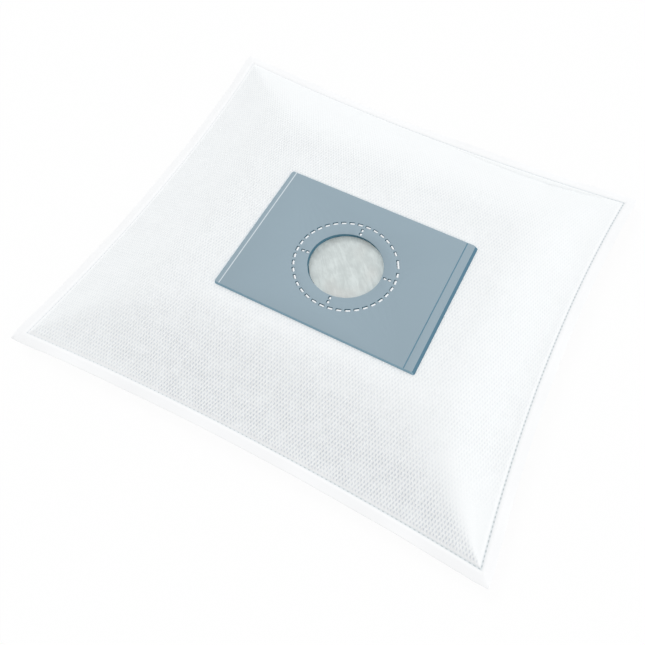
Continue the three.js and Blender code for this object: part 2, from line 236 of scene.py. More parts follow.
# Camera
CAMERA_AZIMUTH = math.radians(26.85)
CAMERA_ELEVATION = math.radians(60.73)
CAMERA_ROLL = math.radians(0.95)
CAMERA_DISTANCE = 424.2 * MM
CAMERA_TARGET = Vector((6.7 * MM, -42.0 * MM, 0))
PHOTO_SIDE = 645
FOCAL_LENGTH_PIXELS = 680
SENSOR_WIDTH_MM = 36
CAMERA_CLIP = (0.01, 20)

# Light. Each lamp: azimuth from +X towards +Y and elevation in degrees, strength, whether it casts a shadow.
LAMPS = {"key": (150, 30, 0.97, True), "fill": (0, 12, 1.2, False)}
LAMP_SOFTNESS = math.radians(24)
AMBIENT = 0.735
FLOOR_SEEN_SHARE = 0.93
FLOOR_HALF = 3.0


def linear(hex_colour):
    """A colour written as sRGB hex, as the linear values that Blender works with."""
    channels = []
    for start in (1, 3, 5):
        value = int(hex_colour[start:start + 2], 16) / 255
        channels.append(value / 12.92 if value <= 0.04045 else ((value + 0.055) / 1.055) ** 2.4)
    return (*channels, 1.0)


def add_node(tree, kind, settings=None, inputs=None):
    """Adds a node with its settings and inputs. An input is linked where it is given another node's socket,
    or the node itself, which stands for its first output."""
    node = tree.nodes.new(kind)
    for name, value in (settings or {}).items():
        setattr(node, name, value)
    for name, value in (inputs or {}).items():
        if isinstance(value, bpy.types.Node):
            value = value.outputs[0]
        if isinstance(value, bpy.types.NodeSocket):
            tree.links.new(value, node.inputs[name])
        else:
            node.inputs[name].default_value = value
    return node


def new_material(name):
    material = bpy.data.materials.new(name)
    material.use_nodes = True
    material.node_tree.nodes.clear()
    return material, material.node_tree


def finish_material(material, shader):
    add_node(material.node_tree, "ShaderNodeOutputMaterial", inputs={"Surface": shader})
    return material


def surfaced(material, colour, relief, roughness, ior, specular):
    """Ends a material: its colour, the height, strength and size of its relief, and its finish."""
    tree = material.node_tree
    height, strength, size = relief
    bump = add_node(tree, "ShaderNodeBump", inputs={"Strength": strength, "Distance": size, "Height": height})
    return finish_material(material, add_node(tree, "ShaderNodeBsdfPrincipled", inputs={
        "Base Color": colour, "Roughness": roughness, "Normal": bump,
        "IOR": ior, "Specular IOR Level": specular,
    }))


def object_from(name, data, materials=()):
    """A new object at the origin, named as its data and with its materials."""
    data.name = name
    for material in materials:
        data.materials.append(material)
    piece = bpy.data.objects.new(name, data)
    bpy.context.scene.collection.objects.link(piece)
    return piece


def eased(share):
    """A share from 0 to 1 that starts and ends softly."""
    return share**2 * (3 - 2 * share)


def blended(ends, share):
    """A value that goes evenly from the first of two ends to the second."""
    return ends[0] * (1 - share) + ends[1] * share


def turned(x, y, turn):
    """How far a place lies along a direction and across it."""
    return x * math.cos(turn) + y * math.sin(turn), y * math.cos(turn) - x * math.sin(turn)


# Camera, light and floor


def make_camera():
    data = bpy.data.cameras.new("camera")
    data.sensor_width = SENSOR_WIDTH_MM
    data.lens = SENSOR_WIDTH_MM * FOCAL_LENGTH_PIXELS / PHOTO_SIDE
    data.clip_start, data.clip_end = CAMERA_CLIP
    camera = object_from("camera", data)
    turn = Matrix.Rotation(CAMERA_AZIMUTH, 4, "Z") @ Matrix.Rotation(math.pi / 2 - CAMERA_ELEVATION, 4, "X")
    turn @= Matrix.Rotation(CAMERA_ROLL, 4, "Z")
    camera.matrix_world = Matrix.Translation(CAMERA_TARGET + CAMERA_DISTANCE * turn.to_3x3().col[2]) @ turn
    bpy.context.scene.camera = camera


def make_lamps():
    """Soft distant lamps."""
    for name, (azimuth, elevation, strength, casts_shadow) in LAMPS.items():
        data = bpy.data.lights.new(name, "SUN")
        data.energy = strength
        data.angle = LAMP_SOFTNESS
        data.use_shadow = casts_shadow
        object_from(name, data).rotation_euler = (0, math.radians(90 - elevation), math.radians(azimuth))


def seen_ray(tree):
    """1 for the rays that show a background, 0 for the rays that only carry light."""
    path = add_node(tree, "ShaderNodeLightPath")
    seen = path.outputs["Is Camera Ray"]
    for kind in ("Is Glossy Ray", "Is Transmission Ray"):
        seen = add_node(tree, "ShaderNodeMath", {"operation": "MAXIMUM"}, {0: seen, 1: path.outputs[kind]})
    return seen


def make_world():
    world = bpy.data.worlds.new("studio")
    world.use_nodes = True
    tree = world.node_tree
    tree.nodes.clear()
    light, seen = (
        add_node(tree, "ShaderNodeBackground", inputs={"Color": linear("#FFFFFF"), "Strength": strength})
        for strength in (AMBIENT, 1.0)
    )
    mixed = add_node(tree, "ShaderNodeMixShader", inputs={0: seen_ray(tree), 1: light, 2: seen})
    add_node(tree, "ShaderNodeOutputWorld", inputs={"Surface": mixed})
    bpy.context.scene.world = world


def floor_material():
    """White paper sweep. Most of what the camera sees of it is plain white, the rest keeps the shadow."""
    material, tree = new_material("white_paper_sweep")
    lit = add_node(tree, "ShaderNodeBsdfDiffuse", inputs={"Color": linear("#FEFEFE")})
    plain = add_node(tree, "ShaderNodeEmission", inputs={"Color": linear("#FFFFFF"), "Strength": 1.0})
    share = add_node(tree, "ShaderNodeMath", {"operation": "MULTIPLY"}, {
        0: seen_ray(tree), 1: FLOOR_SEEN_SHARE,
    })
    return finish_material(material, add_node(tree, "ShaderNodeMixShader", inputs={
        0: share, 1: lit, 2: plain,
    }))


def make_floor():
    mesh = bpy.data.meshes.new("floor")
    corners = [(x * FLOOR_HALF, y * FLOOR_HALF, 0) for x, y in ((-1, -1), (1, -1), (1, 1), (-1, 1))]
    mesh.from_pydata(corners, [], [(0, 1, 2, 3)])
    object_from("floor", mesh, [floor_material()])


# Form of the puffed bag, close to that of the solids. Places are given in the flat cut of the panels.


def soft_weights(values):
    """How much each of several values counts in a soft minimum: the smaller it is, the more."""
    return [np.maximum(value, 1e-6) ** -RIDGE_SHARPNESS for value in values]


def soft_minimum(values):
    return sum(soft_weights(values)) ** (-1 / RIDGE_SHARPNESS)


def weighted(weights, values):
    return sum(weight * value for weight, value in zip(weights, values)) / sum(weights)


def drawn_in(x, y):
    """Where a point of the flat cut lies once the bag is puffed: the middles of the sides are drawn in."""
    u = np.clip(x / WELD_HALF_X, -1, 1)
    v = np.clip(y / WELD_HALF_Y, -1, 1)
    end_pull = np.where(u < 0, DRAWN_IN_LEFT, DRAWN_IN_RIGHT) * np.abs(u) ** DRAWN_IN_FADE * (1 - v**2)
    side_pull = np.where(v < 0, DRAWN_IN_FRONT, DRAWN_IN_BACK) * np.abs(v) ** DRAWN_IN_FADE * (1 - u**2)
    return x - np.sign(u) * end_pull, y - np.sign(v) * side_pull


def weld_distance(x, y):
    """How far a point lies inside the weld, negative on the flange."""
    return np.minimum(WELD_HALF_X - np.abs(x), WELD_HALF_Y - np.abs(y))


def seam_height(x, y):
    """Middle plane of the weld: low at the corners, lifted between them, curling down outside."""
    u = np.clip(np.abs(x) / WELD_HALF_X, 0, 1)
    v = np.clip(np.abs(y) / WELD_HALF_Y, 0, 1)
    lift = SEAM_LIFT_LONG_SIDE * (1 - u**2) * v**2 + SEAM_LIFT_SHORT_SIDE * (1 - v**2) * u**2
    outside = np.maximum(-weld_distance(x, y), 0)
    return SEAM_CORNER_HEIGHT + lift - FLANGE_DROOP * (outside / FLANGE_WIDTH) ** FLANGE_CURL


def slope_shares(x, y, runs):
    """How far a point is up the left, right, front and back slope: 0 at the weld, 1 at the end of the run."""
    inside = (x + WELD_HALF_X, WELD_HALF_X - x, y + WELD_HALF_Y, WELD_HALF_Y - y)
    return [distance / run for distance, run in zip(inside, runs)]


def base_share(x, y):
    """0 at the weld, 1 where the back panel lies on the table."""
    return np.clip(soft_minimum(slope_shares(x, y, [BASE_RISE_RUN] * 4)), 0, 1)


def front_panel_under(x, y):
    seam = seam_height(x, y) + PANEL_GAP / 2
    shares = slope_shares(x, y, CROWN_RUNS)
    share = np.clip(soft_minimum(shares), 0, 1)
    arched = 1 - (1 - share) ** CROWN_FULLNESS
    hollow = weighted(soft_weights(shares), HOLLOWS.values())
    return seam + (CROWN_HEIGHT - PANEL_THICKNESS - seam) * blended((arched, eased(share)), hollow)


def back_panel_top(x, y):
    seam = seam_height(x, y) - PANEL_GAP / 2
    fall = 1 - (1 - base_share(x, y)) ** BASE_FULLNESS
    return seam + (PANEL_THICKNESS - seam) * fall


# Softness on top of those heights


def soft_waves(x, y, lengths, seed):
    """A smooth random field of about unit height, made of slow waves in all directions."""
    draw = np.random.default_rng(SEEDS[seed])
    total = np.zeros_like(x)
    for _ in range(WAVE_COUNT):
        length = draw.uniform(*lengths)
        turn = draw.uniform(0, 2 * math.pi)
        phase = draw.uniform(0, 2 * math.pi)
        total += np.cos(2 * math.pi * turned(x, y, turn)[0] / length + phase)
    return total / math.sqrt(WAVE_COUNT / 2)


def along_weld(x, y):
    """Distance along the nearest side of the weld, with a jump between the sides so that they differ."""
    on_short_side = (WELD_HALF_X - np.abs(x)) < (WELD_HALF_Y - np.abs(y))
    return np.where(on_short_side, y + np.sign(x) * 0.7, x + np.sign(y) * 0.3)


def puckers(x, y, seed):
    """Short ripples square to the weld that fade out into the panel."""
    inside = np.maximum(weld_distance(x, y), 0)
    run = along_weld(x, y)
    ripple = soft_waves(run, np.zeros_like(run), PUCKER_LENGTHS, seed)
    corner = np.minimum(np.abs(np.abs(x) - WELD_HALF_X), 1) + np.minimum(np.abs(np.abs(y) - WELD_HALF_Y), 1)
    away_from_corner = np.clip(corner / PUCKER_CORNER - 0.4, 0, 1)
    return ripple * away_from_corner * np.exp(-inside / PUCKER_REACH) * (1 - np.exp(-inside / PUCKER_RISE))


def beside_collar(x, y):
    """0 under the collar board and 1 a little way off, so that the board lies flat."""
    out_x = np.maximum(COLLAR_LOW.x - x, x - COLLAR_HIGH.x)
    out_y = np.maximum(COLLAR_LOW.y - y, y - COLLAR_HIGH.y)
    away = np.hypot(np.maximum(out_x, 0), np.maximum(out_y, 0))
    return np.clip((away - FLAT_ROUND_BOARD) / FLAT_FADE, 0, 1)


def swollen(x, y):
    """How far the cloth stands up beside the left and the back edge of the board."""
    left, back = COLLAR_LOW.x - x, y - COLLAR_HIGH.y
    away = np.hypot(np.maximum(left, 0), np.maximum(back, 0))
    along_back = np.clip((COLLAR_HIGH.x - x) / SWELL_END, 0, 1)
    along_left = np.clip((y - COLLAR_LOW.y) / SWELL_END, 0, 1)
    return eased(along_back * along_left) * (1 - np.exp(-away / SWELL_RISE)) * np.exp(-away / SWELL_FADE)


def bag_shares(x, y):
    """How far a point is from the left end to the right one, and from the front to the back, from 0 to 1."""
    return np.clip(0.5 + x / (2 * WELD_HALF_X), 0, 1), np.clip(0.5 + y / (2 * WELD_HALF_Y), 0, 1)


def weld_press_and_shade(x, y):
    """How strongly the weld shows near a point: partly how hard it is pressed, partly painted shade."""
    across, back = bag_shares(x, y)
    return blended((blended(WELD_PRESS_AND_SHADE_FRONT, across), blended(WELD_PRESS_AND_SHADE_BACK, across)), back)


def bell(away, half):
    """1 in the middle, fading on both sides over about a half width."""
    return np.exp(-((away / half) ** 2))


# The weld's groove and its grey, the grey partly painted shade
def weld_mark(x, y):
    return weld_press_and_shade(x, y) * bell(weld_distance(x, y), WELD_GROOVE_HALF)


def flange_waves(x, y):
    outside = np.clip(-weld_distance(x, y) / FLANGE_WIDTH, 0, 1)
    run = along_weld(x, y)
    waves = soft_waves(run, np.zeros_like(run), FLANGE_WAVE_LENGTHS, "flange")
    return FLANGE_WAVE_HEIGHT * outside**1.5 * waves


def tuck(x, y):
    """A sharp little valley with a fuller fold between it and the back weld."""
    along = np.clip((x - TUCK_START) / (TUCK_END - TUCK_START), 0, 1)
    reach = TUCK_REACH * np.sin(math.pi * along) ** 0.5
    inside = WELD_HALF_Y - y
    valley = bell(inside - reach, TUCK_HALF)
    fold = bell(inside - reach * 0.5, np.maximum(reach * 0.35, 0.3 * MM))
    depth = TUCK_DEPTH * (0.3 + 0.7 * along) * np.sin(math.pi * along) ** 0.4
    return depth * (0.8 * fold - valley) * (inside > 0)


def front_softness(x, y):
    inside = np.clip(weld_distance(x, y) / WAVE_RISE, 0, 1)
    waves = WAVE_HEIGHT * soft_waves(x, y, WAVE_LENGTHS, "waves") * inside * beside_collar(x, y)
    waves += SWELL_HEIGHT * swollen(x, y)
    return waves + PUCKER_HEIGHT * puckers(x, y, "front puckers") + flange_waves(x, y) + tuck(x, y)


def front_top_marks(x, y):
    lip = WELD_LIP_HEIGHT * bell(weld_distance(x, y) + WELD_LIP_OFFSET, WELD_LIP_HALF)
    return lip - WELD_GROOVE_DEPTH * weld_mark(x, y)


def pressed(x, y):
    """0 inside the bag, 1 on the weld and the flange, where the two panels are pressed on each other."""
    return eased(np.clip(1 - weld_distance(x, y) / WELD_PRESSED_RUN, 0, 1))


def layer_thickness(x, y):
    """Thickness of one panel: thin where it is pressed, and thinner still towards its outer edge."""
    to_edge = np.clip(1 - (FLANGE_WIDTH + weld_distance(x, y)) / FLANGE_EDGE_RUN, 0, 1)
    thinned = (PANEL_THICKNESS - PRESSED_THICKNESS) * pressed(x, y)
    return PANEL_THICKNESS - thinned - FLANGE_EDGE_THINNING * to_edge**2


def front_panel_heights(x, y):
    under = front_panel_under(x, y) + front_softness(x, y) - PANEL_GAP / 2 * pressed(x, y)
    return under + layer_thickness(x, y) + front_top_marks(x, y), under


def back_panel_heights(x, y):
    ripples = PUCKER_HEIGHT * puckers(x, y, "back puckers") * (1 - base_share(x, y))
    top = back_panel_top(x, y) + flange_waves(x, y) - ripples
    top += PANEL_GAP / 2 * pressed(x, y)
    marks = WELD_GROOVE_DEPTH * weld_mark(x, y)
    return top, top - layer_thickness(x, y) + marks


# Meshes


def grid_lines(stops):
    """Grid lines from the first stop to the last one, each stop given with the step that follows it."""
    lines = []
    for (start, step), (end, _) in zip(stops, stops[1:]):
        lines.append(np.linspace(start, end, max(1, round((end - start) / step)) + 1)[:-1])
    return np.concatenate([*lines, [stops[-1][0]]])


def panel_lines(weld_half, start, end):
    """Grid lines across a panel, close together over the weld and in one zone beside the board."""
    edge, outer = weld_half + FLANGE_WIDTH, weld_half + WELD_ZONE
    inner, soft = weld_half - WELD_ZONE, weld_half - TUCK_ZONE
    lines = grid_lines([
        (-edge, FLANGE_EDGE_STEP), (-edge + FLANGE_EDGE_ZONE, FLANGE_STEP), (-outer, WELD_STEP),
        (-inner, TUCK_STEP), (-soft, PANEL_STEP), (soft, TUCK_STEP), (inner, WELD_STEP),
        (outer, FLANGE_STEP), (edge - FLANGE_EDGE_ZONE, FLANGE_EDGE_STEP), (edge, 0),
    ])
    kept = lines[(lines < start - BESIDE_BOARD_STEP) | (lines > end + BESIDE_BOARD_STEP)]
    return np.sort(np.concatenate([kept, np.arange(start, end, BESIDE_BOARD_STEP)]))


def shell_mesh(x, y, top, under, quads):
    """Closed shell from two height maps over squares of the flat cut, with a wall along every open edge."""
    count = x.size
    flat = [side.ravel() for side in drawn_in(x, y)]
    points = np.concatenate([np.column_stack([*flat, height.ravel()]) for height in (top, under)])
    starts = quads.ravel()
    ends = np.roll(quads, -1, axis=1).ravel()
    rim = ~np.isin(starts * count + ends, ends * count + starts)
    a, b = starts[rim], ends[rim]
    walls = np.column_stack([a, a + count, b + count, b])
    faces = np.concatenate([quads, quads[:, ::-1] + count, walls])
    used, faces = np.unique(faces, return_inverse=True)
    faces = faces.reshape(-1, 4)
    mesh = bpy.data.meshes.new("shell")
    mesh.vertices.add(len(used))
    mesh.vertices.foreach_set("co", points[used].astype(np.float32).ravel())
    mesh.loops.add(faces.size)
    mesh.loops.foreach_set("vertex_index", faces.astype(np.int32).ravel())
    mesh.polygons.add(len(faces))
    mesh.polygons.foreach_set("loop_start", np.arange(0, faces.size, 4, dtype=np.int32))
    mesh.update(calc_edges=True)
    mesh.shade_smooth()
    mesh.set_sharp_from_angle(angle=SHARP_FOLD)
    mark_mesh(mesh, x.ravel()[used % count], y.ravel()[used % count])
    return mesh


def emboss_and_shade(x, y):
    """How clearly the bond points stand out, in relief and in the grey of their film, which is partly painted
    shade: most on the front slope, and not on the flange.
    """
    across, back = bag_shares(x, y)
    shares = slope_shares(x, y, CROWN_RUNS)
    crown = np.clip(soft_minimum(shares), 0, 1) ** 3
    smooth_end, smooth_start = EMBOSS_AND_SHADE_SMOOTH_CORNER
    off_corner = np.clip((y + WELD_HALF_Y - smooth_end) / (smooth_start - smooth_end), 0, 1)
    on_right = blended(EMBOSS_AND_SHADE_RIGHT, back) * off_corner
    on_front = blended(EMBOSS_AND_SHADE_FRONT, np.clip(across / EMBOSS_AND_SHADE_FRONT_END, 0, 1))
    weights = soft_weights([share / kept for share, kept in zip(shares, (*EMBOSS_AND_SHADE_KEEPS_BACK, 1, 1))])
    on_slope = weighted(weights, (EMBOSS_AND_SHADE_LEFT, on_right, on_front, EMBOSS_AND_SHADE_BACK))
    start, run = EMBOSS_AND_SHADE_OFF_WELD
    off_weld = np.clip((weld_distance(x, y) - start) / run, 0, 1)
    return blended((on_slope, blended(EMBOSS_AND_SHADE_CROWN, across)), crown) * off_weld


def mark_mesh(mesh, x, y):
    """Stores for the materials the place in the flat cut and what pressing has done to the cloth there, with
    the painted shade that darkens the weld and the bond points.
    """
    place = np.column_stack([x, y, np.zeros_like(x)]).astype(np.float32)
    mesh.attributes.new("cut_place", "FLOAT_VECTOR", "POINT").data.foreach_set("vector", place.ravel())
    for form in (weld_mark, emboss_and_shade, pressed):
        marks = mesh.attributes.new(form.__name__, "FLOAT", "POINT")
        marks.data.foreach_set("value", form(x, y).astype(np.float32))


def grid_quads(columns, rows):
    i, j = np.meshgrid(np.arange(columns - 1), np.arange(rows - 1))
    first = (j * columns + i).ravel()
    return np.column_stack([first, first + 1, first + 1 + columns, first + columns])


def panel_mesh(heights, hole_radius=None):
    x, y = np.meshgrid(
        panel_lines(WELD_HALF_X, COLLAR_LOW.x - BESIDE_BOARD_ZONE, COLLAR_LOW.x + BESIDE_BOARD_STEP),
        panel_lines(WELD_HALF_Y, COLLAR_HIGH.y - BESIDE_BOARD_STEP, COLLAR_HIGH.y + BESIDE_BOARD_ZONE),
    )
    quads = grid_quads(x.shape[1], x.shape[0])
    if hole_radius:
        reach = np.hypot(x - INLET_X, y - INLET_Y)
        inside = (reach < hole_radius).ravel()
        quads = quads[~inside[quads].all(axis=1)]
        stretch = np.where(reach < hole_radius, hole_radius / np.maximum(reach, MM), 1)
        x, y = INLET_X + (x - INLET_X) * stretch, INLET_Y + (y - INLET_Y) * stretch
    return shell_mesh(x, y, *heights(x, y), quads)


def lining_lines(weld_half, middle):
    fine = INLET_RADIUS + LINING_FINE_MARGIN
    half = weld_half - LINING_MARGIN
    return grid_lines([
        (-half, LINING_COARSE_STEP), (middle - fine, LINING_FINE_STEP),
        (middle + fine, LINING_COARSE_STEP), (half, 0),
    ])


def lofted(x, y, low):
    """The lining's height above its thin edge, and its share of standing fibre: 1 under the inlet."""
    along, across = x - INLET_X, y - INLET_Y
    mound = 1 - (along / LINING_LOFT_HALF_LENGTH) ** 2 - (across / LINING_LOFT_HALF_WIDTH) ** 2
    inner, outer = LINING_TUFT_REACH
    tuft = eased(np.clip((outer - np.hypot(along, across)) / (outer - inner), 0, 1))
    height = low + LINING_LOFT * np.clip(mound, 0, 1) ** 2
    return height + (LINING_TUFT_HEIGHT - height) * tuft, tuft


def lining_heights(x, y):
    """Low slanted folds with streaks of combed fibre on them, kept under the front panel."""
    under = back_panel_top(x, y) + LINING_GAP
    height, tuft = lofted(x, y, under + LINING_THICKNESS)
    across, along = turned(x, y, LINING_WAVE_TURN)
    fold = np.sin(2 * math.pi * across / LINING_WAVE_LENGTH)
    fold *= np.cos(math.pi * along / (LINING_WAVE_LENGTH * 3))
    top = height + LINING_WAVE_HEIGHT * fold * (1 - 0.85 * tuft)
    down, side = turned(x, y, STREAK_TURN)
    for seed, (stretch, lengths, depth) in (("streaks", STREAKS), ("tufts", TUFTS)):
        top += soft_waves(down / stretch, side, lengths, seed) * depth
    across_inlet = np.hypot(x - INLET_X, y - INLET_Y) / (INLET_RADIUS - MM)
    bulge = LINING_BULGE * np.clip(1 - across_inlet**2, 0, 1)
    return np.minimum(top, front_panel_under(x, y) - LINING_CLEARANCE) + bulge, under


def lining_mesh():
    x, y = np.meshgrid(lining_lines(WELD_HALF_X, INLET_X), lining_lines(WELD_HALF_Y, INLET_Y))
    return shell_mesh(x, y, *lining_heights(x, y), grid_quads(x.shape[1], x.shape[0]))


# Collar board


def arc(x, y, radius, start, end, count=6):
    turns = np.linspace(start, end, count)
    return np.column_stack([x + radius * np.cos(turns), y + radius * np.sin(turns)])


def score_places():
    return COLLAR_LOW.x + SCORE_INSETS[0], COLLAR_HIGH.x - SCORE_INSETS[1]


def score_crossings():
    """Where the middle and the two borders of each score line cross the board's long edges."""
    return sorted(
        place + side * half for place, half in zip(score_places(), SCORE_HALF_WIDTHS) for side in (-1, 0, 1)
    )


def collar_outline():
    """Outline of the board, with a point on its long edges wherever a score line crosses them."""
    r = COLLAR_CORNER_RADIUS
    left, right, front, back = COLLAR_LOW.x, COLLAR_HIGH.x, COLLAR_LOW.y, COLLAR_HIGH.y
    crossings = score_crossings()
    quarter = math.pi / 2
    return np.concatenate([
        arc(left + r, front + r, r, 2 * quarter, 3 * quarter),
        [(x, front) for x in crossings],
        arc(right - r, front + r, r, 3 * quarter, 4 * quarter),
        arc(right - r, back - r, r, 0, quarter),
        [(x, back) for x in reversed(crossings)],
        arc(left + r, back - r, r, quarter, 2 * quarter),
    ])


def slot_outline(x, y, direction, length):
    """A slot with softly rounded corners, as a loop of points that runs clockwise."""
    along = np.array([math.cos(direction), math.sin(direction)])
    across = np.array([-along[1], along[0]])
    half, wide, r = length / 2, SLOT_WIDTH / 2, SLOT_ROUNDING
    corners = [(half, wide - r), (half - r, wide), (r - half, wide), (-half, wide - r)]
    corners += [(-a, -b) for a, b in corners]
    return np.array([(x, y) + a * along + b * across for a, b in corners])[::-1]


def from_inlet(reach, turn):
    return INLET_X + reach * math.cos(turn), INLET_Y + reach * math.sin(turn)


def slots():
    """Middle, direction and length of every perforation: the tear-out ring and the short tear lines."""
    found = []
    places = [(LONG_SLOT_PLACE + 0.5, LONG_SLOT_LENGTH)]
    for place in range(TEAR_RING_SLOTS):
        if place not in (LONG_SLOT_PLACE, LONG_SLOT_PLACE + 1):
            places.append((place, SLOT_LENGTH))
    for place, length in places:
        turn = TEAR_LINE_TURN + 2 * math.pi * place / TEAR_RING_SLOTS
        found.append((*from_inlet(TEAR_RING_RADIUS, turn), turn + math.pi / 2, length))
    free = TEAR_RING_RADIUS - SLOT_WIDTH / 2 - INLET_RADIUS - TEAR_LINE_SLOTS * TEAR_LINE_SLOT_LENGTH
    bridge = free / (TEAR_LINE_SLOTS + 2)
    for line in range(TEAR_LINES):
        turn = TEAR_LINE_TURN + 2 * math.pi * line / TEAR_LINES
        for k in range(TEAR_LINE_SLOTS):
            reach = INLET_RADIUS + bridge + TEAR_LINE_SLOT_LENGTH / 2 + k * (TEAR_LINE_SLOT_LENGTH + bridge)
            found.append((*from_inlet(reach, turn), turn, TEAR_LINE_SLOT_LENGTH))
    return found


def moved_out(loop, distance):
    """The loop moved sideways, away from the board's material: its own right side as it runs."""
    ahead = np.roll(loop, -1, axis=0) - loop
    ahead /= np.linalg.norm(ahead, axis=1, keepdims=True)
    behind = np.roll(ahead, 1, axis=0)
    normal = np.column_stack([ahead[:, 1] + behind[:, 1], -ahead[:, 0] - behind[:, 0]])
    normal /= np.maximum(np.linalg.norm(normal, axis=1, keepdims=True), 1e-6)
    spread = (normal[:, 0] * ahead[:, 1] - normal[:, 1] * ahead[:, 0])[:, None]
    return loop + normal * distance / np.clip(spread, 0.5, 1)


def leaned_out(outline):
    """The board's outline at its underside, where the blade has left each cut edge leaning outwards."""
    middle = (COLLAR_LOW + COLLAR_HIGH) / 2
    half = (COLLAR_HIGH - COLLAR_LOW) / 2
    u = (outline[:, 0] - middle.x) / half.x
    v = (outline[:, 1] - middle.y) / half.y
    lean_x = np.where(u < 0, COLLAR_EDGE_LEAN["left"], COLLAR_EDGE_LEAN["right"]) * u
    lean_y = np.where(v < 0, COLLAR_EDGE_LEAN["front"], COLLAR_EDGE_LEAN["back"]) * v
    return outline + np.column_stack([lean_x, lean_y])


def score_drop(x):
    """How deep the score grooves are at a place along the board."""
    drop = np.zeros_like(x)
    for place, half, depth in zip(score_places(), SCORE_HALF_WIDTHS, SCORE_DEPTHS):
        drop += depth * np.clip(1 - np.abs(x - place) / half, 0, 1)
    return drop


def collar_mesh():
    """The board: flat faces triangulated round its holes and between its score lines, which join the points
    where they cross the long edges, then rounded top edges and leaning cut edges."""
    circle = arc(INLET_X, INLET_Y, INLET_RADIUS, 2 * math.pi, 0, INLET_POINTS + 1)[:-1]
    loops = [collar_outline(), circle] + [slot_outline(*slot) for slot in slots()]
    rings = []
    for number, loop in enumerate(loops):
        rounding = COLLAR_EDGE_ROUNDING if number < 2 else COLLAR_EDGE_ROUNDING / 2
        rings.append([
            (moved_out(loop, -rounding), COLLAR_HIGH.z),
            (moved_out(loop, -rounding * 0.3), COLLAR_HIGH.z - rounding * 0.3),
            (loop, COLLAR_HIGH.z - rounding),
            (underside_of(number, loop), COLLAR_LOW.z),
        ])
    flat = [ring[0][0] for ring in rings]
    starts = np.cumsum([0] + [len(loop) for loop in flat])
    edges = []
    for start, loop in zip(starts, flat):
        edges += [(start + k, start + (k + 1) % len(loop)) for k in range(len(loop))]
    points = np.concatenate(flat)
    for x in score_crossings():
        edges.append(np.argsort(np.abs(points[:starts[1], 0] - x))[:2].tolist())
    found = delaunay_2d_cdt([Vector(p) for p in points], edges, [], 0, 1e-7)
    faces = [face for face in found[2] if on_board(np.mean([points[v] for v in face], axis=0))]
    return walled_board(rings, points, faces, starts)


def underside_of(number, loop):
    """A loop of the board at its underside: the outline and the inlet lean, the slots are square."""
    if number == 0:
        return leaned_out(loop)
    return loop + INLET_LEAN if number == 1 else loop


def on_board(place):
    """Whether a point of the board's plane has board under it, and isn't in the inlet or a slot."""
    if math.hypot(place[0] - INLET_X, place[1] - INLET_Y) < INLET_RADIUS:
        return False
    for x, y, direction, length in slots():
        along, across = turned(place[0] - x, place[1] - y, direction)
        if abs(along) < length / 2 and abs(across) < SLOT_WIDTH / 2:
            return False
    return True


def walled_board(rings, points, faces, starts):
    """Joins the top face, the underside and a wall round each loop, level by level."""
    count = len(points)
    levels = len(rings[0])
    places = []
    for level in range(levels):
        flat = np.concatenate([ring[level][0] for ring in rings])
        height = np.concatenate([np.full(len(ring[level][0]), ring[level][1]) for ring in rings])
        if level < levels - 1:
            height = height - score_drop(flat[:, 0])
        places.append(np.column_stack([flat, height]))
    polygons = [tuple(face) for face in faces]
    polygons += [tuple(v + (levels - 1) * count for v in reversed(face)) for face in faces]
    kinds = [face_kind(points[list(face)]) for face in faces] + [0] * len(faces)
    for number, (start, ring) in enumerate(zip(starts, rings)):
        size = len(ring[0][0])
        for k in range(size):
            a, b = start + k, start + (k + 1) % size
            for level in range(levels - 1):
                upper, lower = level * count, (level + 1) * count
                polygons.append((a + upper, a + lower, b + lower, b + upper))
                kinds.append(wall_kind(number, (points[a] + points[b]) / 2) if level else 0)
    mesh = bpy.data.meshes.new("board")
    mesh.from_pydata(np.concatenate(places).tolist(), [], polygons)
    mesh.polygons.foreach_set("material_index", np.array(kinds, np.int32))
    mesh.polygons.foreach_set("use_smooth", np.arange(len(polygons)) >= 2 * len(faces))
    mesh.update()
    mesh.set_sharp_from_angle(angle=SHARP_BOARD_EDGE)
    return mesh


def wall_kind(number, place):
    """Material of a cut edge, in tones painted for light and shade: 5 inside the board's holes, darkest as
    painted shade, 4 on its long edges, lighter as painted light, and 1 at its ends, darker as painted shade.
    """
    if number:
        return 5
    inset = 2 * COLLAR_EDGE_ROUNDING
    return 4 if COLLAR_LOW.x + inset < place[0] < COLLAR_HIGH.x - inset else 1


def face_kind(corners):
    """Material of a top face: 0 coated, 2 in the left score, painted pale as a highlight, 3 in the right
    score, painted dark as shade.
    """
    x = corners[:, 0].mean()
    for place, half, kind in zip(score_places(), SCORE_HALF_WIDTHS, (2, 3)):
        if abs(x - place) < half:
            return kind
    return 0


# Pieces that repeat along a path, made by node trees


def node_tree(name, sizes):
    """A geometry tree with one named input for each size, and its group input node."""
    tree = bpy.data.node_groups.new(name, "GeometryNodeTree")
    tree.interface.new_socket("Geometry", in_out="OUTPUT", socket_type="NodeSocketGeometry")
    tree.interface.new_socket("Geometry", in_out="INPUT", socket_type="NodeSocketGeometry")
    for size in sizes:
        tree.interface.new_socket(size, in_out="INPUT", socket_type="NodeSocketFloat")
    return tree, tree.nodes.new("NodeGroupInput")


def end_tree(tree, geometry, material):
    real = add_node(tree, "GeometryNodeRealizeInstances", inputs={"Geometry": geometry})
    painted = add_node(tree, "GeometryNodeSetMaterial", inputs={"Geometry": real, "Material": material})
    add_node(tree, "NodeGroupOutput", inputs={"Geometry": painted})


